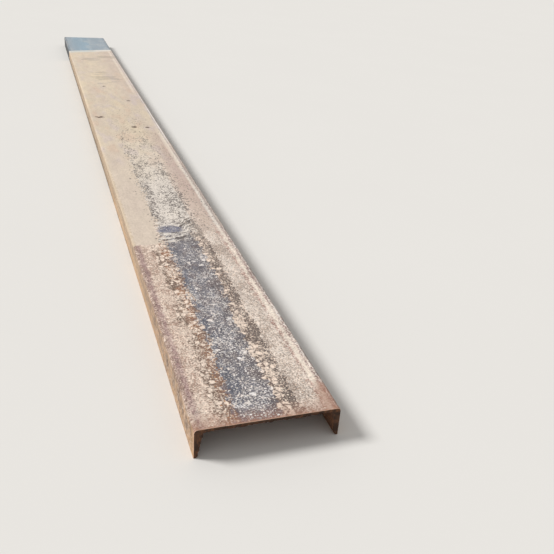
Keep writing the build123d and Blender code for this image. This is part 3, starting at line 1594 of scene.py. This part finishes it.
@dataclass
class Studio:
    """The plain pale floor, the soft light and the camera.

    Args:
        floor_half: Half the width of the floor.
        eye: The camera's place.
        yaw: How far the camera is turned from +Y, in degrees. Below 0 it looks towards +X.
        pitch: How far it looks down, in degrees.
        roll: How far it leans, in degrees.
        focal_px: Focal length in pixels of the frame.
        frame_px: Width and height of the frame in pixels.
        sun_azimuth: Where the main light comes from, in degrees from -X towards +Y.
        sun_height: Its height, in degrees.
        sun_power: Its strength.
        sun_angle: How wide it is, in degrees. A wide one is soft.
        sky_power: Strength of the even light from all round.
        backdrop: Colour of the floor and of what is seen beyond it.
        floor_glow: How much brighter than its colour the lit floor looks, so that the two meet unseen.
    """

    floor_half: float = 60.0
    eye: Point = (-0.469, -4.271, 1.142)
    yaw: float = -20.47
    pitch: float = 26.93
    roll: float = 4.61
    focal_px: float = 672.0
    frame_px: float = 554.0
    sun_azimuth: float = 24.0
    sun_height: float = 42.0
    sun_power: float = 2.6
    sun_angle: float = 18.0
    sky_power: float = 0.46
    backdrop: Colour = colour(231, 228, 223)
    floor_glow: float = 1.0125

    def build(self) -> None:
        """Makes the floor, the lights and the camera."""
        self._floor()
        self._sun()
        self._sky()
        self._camera()
        bpy.context.scene.view_settings.view_transform = "Standard"

    def _add(self, name: str, data: bpy.types.ID) -> bpy.types.Object:
        """Puts an object in the scene.

        Args:
            name: The object's name.
            data: Its mesh, light or lens.

        Returns:
            The object.
        """
        added = bpy.data.objects.new(name, data)
        bpy.context.scene.collection.objects.link(added)
        return added

    def _floor(self) -> None:
        """Lays the floor under the bar."""
        g = SurfaceGraph("pale_floor")
        grain = g.noise(800, detail=3)
        shade = g.scaled(self.backdrop, (grain - 0.5) * 0.02 + 1)
        half = self.floor_half
        corners = [(-half, -half, 0), (half, -half, 0), (half, half, 0), (-half, half, 0)]
        mesh = bpy.data.meshes.new("floor")
        mesh.from_pydata(corners, [], [(0, 1, 2, 3)])
        mesh.materials.append(g.finish(shade, 0.9, grain * 0.1, 0.0))
        floor = self._add("floor", mesh)

    def _sun(self) -> None:
        """Sets a wide soft sun on the left."""
        lamp = bpy.data.lights.new("key", "SUN")
        lamp.energy = self.sun_power
        lamp.angle = math.radians(self.sun_angle)
        tilt, turn = math.radians(self.sun_height - 90), math.radians(-self.sun_azimuth)
        self._add("key", lamp).rotation_euler = (0.0, tilt, turn)

    def _sky(self) -> None:
        """Lights the scene evenly from all round, and shows the backdrop to the camera and in gloss."""
        world = bpy.data.worlds.new("sky")
        world.use_nodes = True
        world.node_tree.nodes.clear()
        g = Graph(world.node_tree)
        light = g.make("ShaderNodeBackground", {"Color": (1, 1, 1, 1), "Strength": self.sky_power})
        seen = g.make("ShaderNodeBackground", {"Color": self.backdrop, "Strength": self.floor_glow})
        path = g.node("ShaderNodeLightPath")
        rays = [g.out(path, f"Is {kind} Ray") for kind in ("Camera", "Glossy", "Transmission")]
        mixed = g.make("ShaderNodeMixShader", {0: g.most(*rays), 1: light, 2: seen})
        g.node("ShaderNodeOutputWorld", {0: mixed})
        bpy.context.scene.world = world

    def _camera(self) -> None:
        """Places the camera as the bar was seen."""
        lens = bpy.data.cameras.new("camera")
        lens.sensor_width = 36.0
        lens.lens = self.focal_px / self.frame_px * lens.sensor_width
        lens.clip_start, lens.clip_end = 0.05, 200.0
        camera = self._add("camera", lens)
        camera.matrix_world = Matrix.Translation(self.eye)
        for angle, axis in ((self.yaw, "Z"), (90 - self.pitch, "X"), (self.roll, "Z")):
            camera.matrix_world @= Matrix.Rotation(math.radians(angle), 4, axis)
        bpy.context.scene.camera = camera


CHALK_FLAKES = FlakeFinish(
    "chalk_flakes", colour(150, 143, 140), colour(192, 184, 177), colour(238, 232, 226)
)
DUST_CRUST = FlakeFinish("dust_crust", colour(186, 160, 142), colour(218, 196, 178), colour(236, 220, 202))
RUST_SCABS = FlakeFinish("rust_scabs", colour(120, 84, 62), colour(164, 118, 86), colour(196, 154, 122))
DARK_SCABS = FlakeFinish("dark_scabs", colour(92, 84, 84), colour(122, 114, 112), colour(150, 140, 134))


def flake_fields(section: ChannelSection) -> Iterable[tuple[FlakeField, FlakeFinish]]:
    """Lists every strip of flakes with its finish.

    Args:
        section: The bar that they lie on.

    Returns:
        Pairs of a field and what it is made of.
    """
    scale = FlakeSize(6.5 * MM, 1.6 * MM, 4.2 * MM, 0.75 * MM)
    scab = FlakeSize(7.5 * MM, 1.4 * MM, 3.6 * MM, 0.7 * MM)
    return (
        (FlakeField("scale_flakes", section, (120, 232), (0.008, 1.22), scale, 0.62, 0.3, 1), CHALK_FLAKES),
        (FlakeField("left_crust", section, (24, 122), (0.008, 1.06), scab, 0.6, 0.1, 2), DUST_CRUST),
        (FlakeField("right_crust", section, (226, 348), (0.008, 1.35), scab, 0.6, 0.2, 3), DUST_CRUST),
        (FlakeField("rust_scabs", section, (84, 128), (0.008, 1.05), scab, 0.55, 0.2, 4), RUST_SCABS),
        (FlakeField("dark_scabs_left", section, (112, 172), (1.2, 2.5), scab, 0.55, 0.9, 5), DARK_SCABS),
        (FlakeField("dark_scabs_right", section, (250, 286), (0.1, 2.4), scab, 0.5, 0.8, 6), DARK_SCABS),
    )


def settle(piece: bpy.types.Object, *nodes: str) -> None:
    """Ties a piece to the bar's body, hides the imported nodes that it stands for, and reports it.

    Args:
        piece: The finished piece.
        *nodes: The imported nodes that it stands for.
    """
    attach(piece, BODY)
    if nodes:
        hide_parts(*nodes)
    piece.data.calc_loop_triangles()
    log.info("%s: %d triangles", piece.name, len(piece.data.loop_triangles))


def main() -> None:
    """Builds the bar, its burrs and flakes, and the studio."""
    section = ChannelSection.from_frame()
    Studio().build()
    cut = CutSteel().build()
    bar = ChannelBar(section).build(WeatheredSkin(section).build(), TroughRust().build(), cut)
    settle(bar, BAR_NODE)
    settle(CutBurr(section).build(cut))
    for flakes, finish in flake_fields(section):
        settle(flakes.build(finish.build()))


if __name__ == "__main__":
    logging.basicConfig(level=logging.INFO, format="%(name)s %(message)s")
    main()
